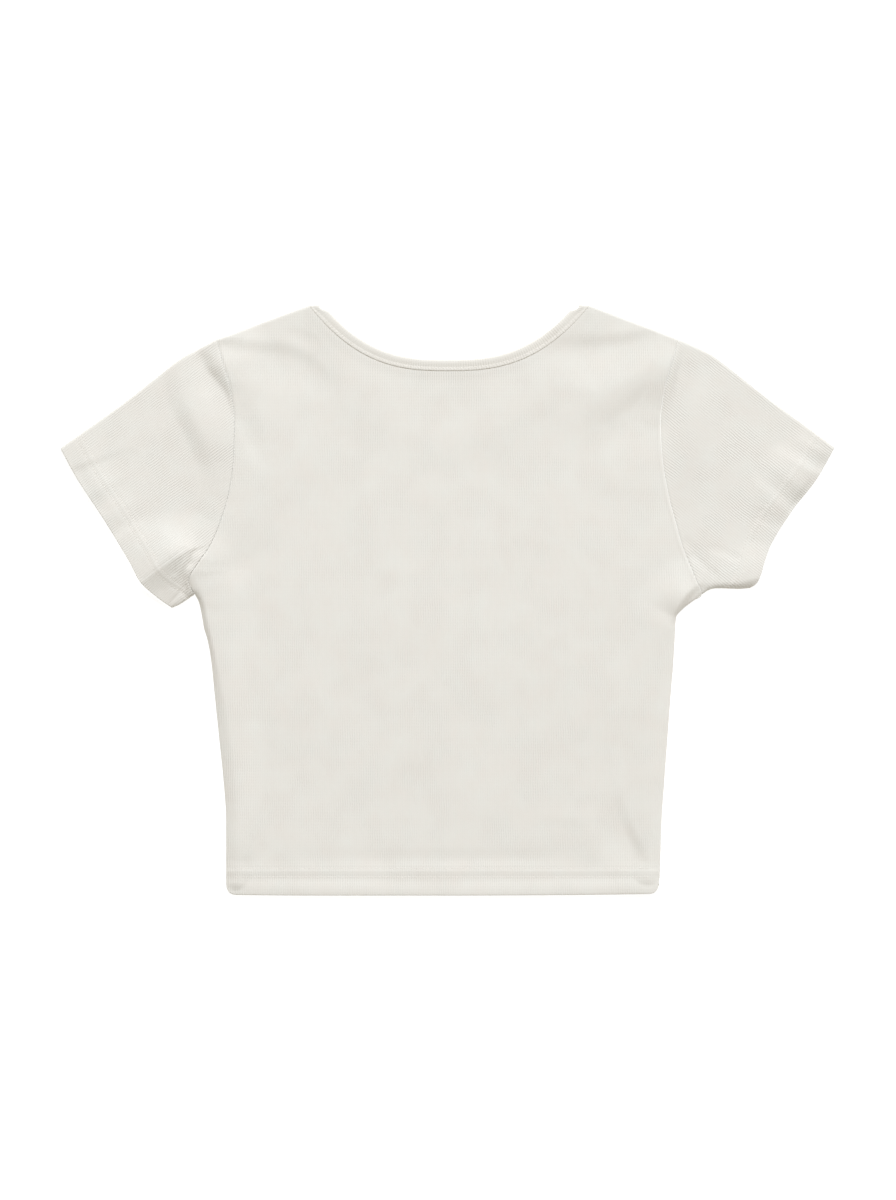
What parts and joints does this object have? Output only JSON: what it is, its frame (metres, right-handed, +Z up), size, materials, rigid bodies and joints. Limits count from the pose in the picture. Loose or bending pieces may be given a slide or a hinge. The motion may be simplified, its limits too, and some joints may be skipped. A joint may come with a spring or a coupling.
{
  "type": "crop top",
  "caption": "Cropped fitted T-shirt in fine rib knit with short sleeves and a bound scoop neck, laid flat face down.",
  "frame": {"origin": "centre of the garment's outline, on the surface that it lies on", "axes": "+X from the wearer's left sleeve to the right one, +Y from the hem to the neck, +Z up, out of the back panel"},
  "size_m": [0.5908, 0.451, 0.0104],
  "materials": {
    "rib_body": "matt off-white fine rib cotton jersey",
    "rib_sleeve": "matt off-white fine rib cotton jersey",
    "rib_binding": "matt off-white folded rib strip, edge-stitched"
  },
  "bodies": {
    "root": {"back_panel": "rib_body", "front_panel": "rib_body", "sleeve_left": "rib_sleeve", "sleeve_right": "rib_sleeve", "neck_binding": "rib_binding"}
  },
  "joints": []
}
